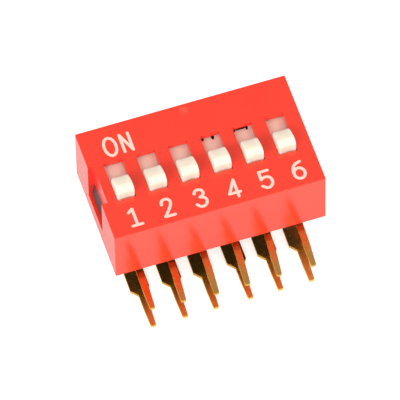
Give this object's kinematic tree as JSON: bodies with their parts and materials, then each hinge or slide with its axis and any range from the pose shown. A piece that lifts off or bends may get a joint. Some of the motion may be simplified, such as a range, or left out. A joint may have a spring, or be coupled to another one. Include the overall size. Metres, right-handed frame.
{
  "type": "dip switch",
  "caption": "Right-angle slide DIP switch: a red moulded housing with white slide actuators, a black base and gold-plated bent solder terminals.",
  "frame": {"origin": "centre of the part's bounding box in plan, at its lowest point, under the lower row of solder legs", "axes": "+X along the row of switches from position 1 to 6, +Y to the ON side (the solder legs point to -Y), +Z out of the face with the sliders"},
  "size_m": [0.0166, 0.0128, 0.0098],
  "materials": {
    "red_housing": "fine semi-gloss moulding",
    "black_base": "fine matt moulding",
    "white_slider": "satin moulding",
    "gold_contact": "gold plated copper alloy, bright",
    "gold_terminal": "gold plated copper alloy, bright"
  },
  "bodies": {
    "root": {"housing": "red_housing", "base": "black_base", "front_terminal_1": "gold_terminal", "front_terminal_2": "gold_terminal", "front_terminal_3": "gold_terminal", "front_terminal_4": "gold_terminal", "front_terminal_5": "gold_terminal", "front_terminal_6": "gold_terminal", "rear_terminal_1": "gold_terminal", "rear_terminal_2": "gold_terminal", "rear_terminal_3": "gold_terminal", "rear_terminal_4": "gold_terminal", "rear_terminal_5": "gold_terminal", "rear_terminal_6": "gold_terminal"},
    "switch_1": {"slider_1": "white_slider", "bridge_contact_1": "gold_contact"},
    "switch_2": {"slider_2": "white_slider", "bridge_contact_2": "gold_contact"},
    "switch_3": {"slider_3": "white_slider", "bridge_contact_3": "gold_contact"},
    "switch_4": {"slider_4": "white_slider", "bridge_contact_4": "gold_contact"},
    "switch_5": {"slider_5": "white_slider", "bridge_contact_5": "gold_contact"},
    "switch_6": {"slider_6": "white_slider", "bridge_contact_6": "gold_contact"}
  },
  "joints": [
    {"name": "slide_1", "type": "slide", "parent": "root", "child": "switch_1", "axis": [0, 1, 0], "range_m": [0, 0.00167]},
    {"name": "slide_2", "type": "slide", "parent": "root", "child": "switch_2", "axis": [0, 1, 0], "range_m": [0, 0.00167]},
    {"name": "slide_3", "type": "slide", "parent": "root", "child": "switch_3", "axis": [0, 1, 0], "range_m": [0, 0.00167]},
    {"name": "slide_4", "type": "slide", "parent": "root", "child": "switch_4", "axis": [0, 1, 0], "range_m": [0, 0.00167]},
    {"name": "slide_5", "type": "slide", "parent": "root", "child": "switch_5", "axis": [0, 1, 0], "range_m": [0, 0.00167]},
    {"name": "slide_6", "type": "slide", "parent": "root", "child": "switch_6", "axis": [0, 1, 0], "range_m": [0, 0.00167]}
  ]
}
